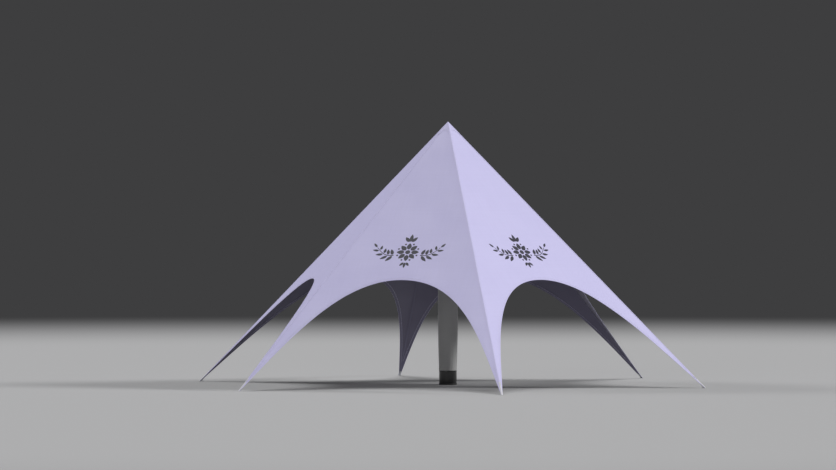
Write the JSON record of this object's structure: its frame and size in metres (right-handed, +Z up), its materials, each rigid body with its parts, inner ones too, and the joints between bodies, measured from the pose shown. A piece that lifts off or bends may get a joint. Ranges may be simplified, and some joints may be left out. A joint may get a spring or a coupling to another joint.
{
  "type": "six-pointed star tent",
  "caption": "Star tent: a hexagonal fabric canopy with an arch in each face, straight ridges running down to ground tips, on one thick central mast.",
  "frame": {"origin": "middle of the mast foot's underside, on the ground", "axes": "+Z up; +X towards one tip, with the others every 60 degrees; -Y out of the middle of one arched face"},
  "size_m": [10.5, 9.1138, 5.1597],
  "materials": {
    "canopy_fabric": "coated polyester, matt with a soft sheen",
    "hem_fabric": "folded and stitched coated polyester",
    "webbing": "woven polyester webbing",
    "galvanised_steel": "hot-dip galvanised, dull",
    "mast_sleeve": "coated fabric sleeve, satin",
    "black_plastic": "moulded, glossy black"
  },
  "bodies": {
    "root": {"canopy_panel_1": "canopy_fabric", "canopy_panel_2": "canopy_fabric", "canopy_panel_3": "canopy_fabric", "canopy_panel_4": "canopy_fabric", "canopy_panel_5": "canopy_fabric", "canopy_panel_6": "canopy_fabric", "arch_hem_1": "hem_fabric", "arch_hem_2": "hem_fabric", "arch_hem_3": "hem_fabric", "arch_hem_4": "hem_fabric", "arch_hem_5": "hem_fabric", "arch_hem_6": "hem_fabric", "ridge_belt_1": "webbing", "ridge_belt_2": "webbing", "ridge_belt_3": "webbing", "ridge_belt_4": "webbing", "ridge_belt_5": "webbing", "ridge_belt_6": "webbing", "tip_shoe_1": "galvanised_steel", "tip_shoe_2": "galvanised_steel", "tip_shoe_3": "galvanised_steel", "tip_shoe_4": "galvanised_steel", "tip_shoe_5": "galvanised_steel", "tip_shoe_6": "galvanised_steel", "mast_foot": "black_plastic", "mast_column": "mast_sleeve", "mast_collar": "black_plastic", "mast_head": "black_plastic"}
  },
  "joints": []
}
